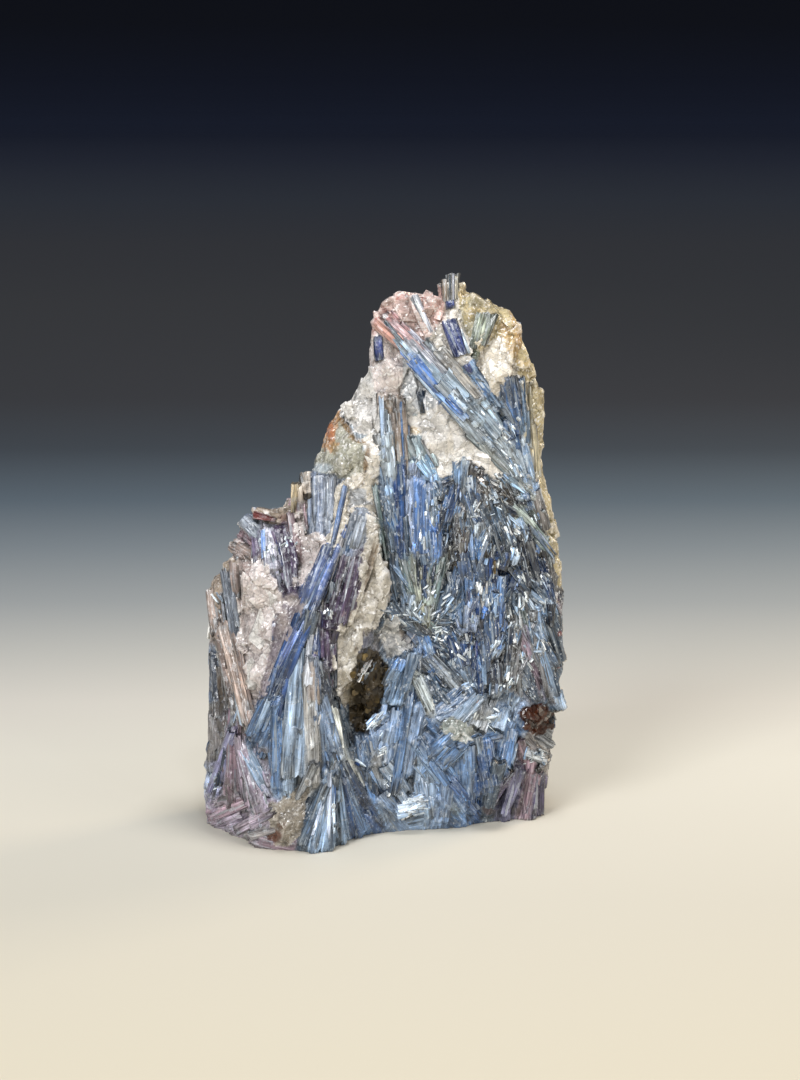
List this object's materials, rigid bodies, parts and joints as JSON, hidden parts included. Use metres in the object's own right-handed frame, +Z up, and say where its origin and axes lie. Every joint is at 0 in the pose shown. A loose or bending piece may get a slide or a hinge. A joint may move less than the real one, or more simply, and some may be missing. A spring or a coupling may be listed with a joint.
{
  "type": "kyanite blade cluster",
  "caption": "Upright broken specimen of blue kyanite blades grown through milky quartz, with a tall spire at one side and a lower buttress at the other, standing on a flat underside.",
  "frame": {"origin": "middle of the bounding box, on the flat underside", "axes": "+Z up, the way the specimen stands; -Y out of the show face; the spire stands towards +X and the buttress towards -X"},
  "size_m": [0.0936, 0.051, 0.1386],
  "materials": {
    "kyanite": "blue bladed crystal with a glassy to pearly lustre, streaked white and grey",
    "quartz": "milky white to honey broken quartz, with rose and rust staining",
    "mica": "dark brown mica in thin shining plates"
  },
  "bodies": {
    "root": {"kyanite_cluster": "kyanite"}
  },
  "joints": []
}
